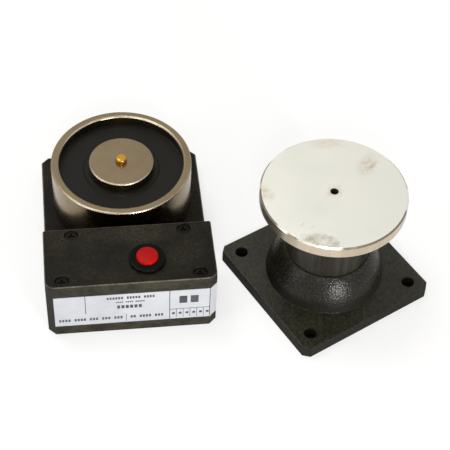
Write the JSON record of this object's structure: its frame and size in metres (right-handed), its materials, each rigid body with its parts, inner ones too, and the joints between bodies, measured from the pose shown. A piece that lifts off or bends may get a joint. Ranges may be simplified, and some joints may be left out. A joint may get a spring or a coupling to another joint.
{
  "type": "electromagnetic door holder",
  "caption": "Electromagnetic door holder: a wall unit with a round pot magnet, junction box and release button, and a door unit with a swivelling round armature on a short stem.",
  "frame": {"origin": "centre of the magnet on the wall unit's back plane, which is also the plane of the door unit's fixing face", "axes": "+X towards the door unit laid beside the wall unit, +Y towards the wall unit's magnet end, +Z out of the fixing faces towards the magnet and armature faces"},
  "size_m": [0.1733, 0.1263, 0.058],
  "materials": {
    "black_plastic": "fine-grained moulding",
    "sand_plastic": "sand-textured moulding",
    "stem_plastic": "smooth moulding",
    "blacked_steel": "blackened screws",
    "zinc_steel": "zinc plated",
    "white_label": "plain film",
    "nickel_plate": "satin nickel plating",
    "disc_plate": "bright zinc plating with faint stains",
    "white_nylon": "natural nylon",
    "copper_wire": "enamelled copper winding",
    "black_resin": "cast resin",
    "brass": "turned brass",
    "spring_steel": "drawn wire",
    "button_black": "satin moulding",
    "red_plastic": "smooth moulding",
    "grey_plastic": "moulded",
    "lead_insulation": "insulated lead"
  },
  "bodies": {
    "base": {"housing": "black_plastic", "cover": "black_plastic", "cover_screws": "blacked_steel", "label_plate": "white_label", "magnet_cup": "nickel_plate", "pole_core": "nickel_plate", "coil_bobbin": "white_nylon", "coil_winding": "copper_wire", "potting": "black_resin", "magnet_screws": "zinc_steel", "ejector_spring": "spring_steel", "ejector_plug": "brass", "button_body": "button_black", "button_spring": "spring_steel", "button_nut": "button_black", "button_base": "button_black", "button_contacts": "brass", "terminal_block": "grey_plastic", "terminal_clamps": "brass", "terminal_screws": "zinc_steel", "coil_leads": "lead_insulation", "button_leads": "lead_insulation", "armature_base": "sand_plastic", "armature_stem": "stem_plastic", "stem_bolt": "zinc_steel", "stem_washer": "zinc_steel", "retaining_ring": "zinc_steel"},
    "ejector": {"ejector_pin": "brass"},
    "button": {"button_cap": "red_plastic", "contact_bridge": "brass"},
    "swivel": {"swivel_liner": "white_nylon"},
    "armature": {"ball_stud": "zinc_steel", "armature_disc": "disc_plate"}
  },
  "joints": [
    {"name": "ejector_slide", "type": "slide", "parent": "base", "child": "ejector", "axis": [0, 0, -1], "range_m": [0, 0.0026], "stiffness_N_per_m": 2000, "springref_m": -0.004, "deforming": ["ejector_spring"]},
    {"name": "button_slide", "type": "slide", "parent": "base", "child": "button", "axis": [0, 0, -1], "range_m": [0, 0.0016], "stiffness_N_per_m": 1000, "springref_m": -0.002, "deforming": ["button_spring"]},
    {"name": "armature_tilt_x", "type": "hinge", "parent": "base", "child": "swivel", "pos_m": [0.09, -0.048, 0.043], "axis": [0.891, 0.454, 0], "range_deg": [-2.5, 2.5]},
    {"name": "armature_tilt_y", "type": "hinge", "parent": "swivel", "child": "armature", "pos_m": [0.09, -0.048, 0.043], "axis": [-0.454, 0.891, 0], "range_deg": [-2.5, 2.5]}
  ]
}
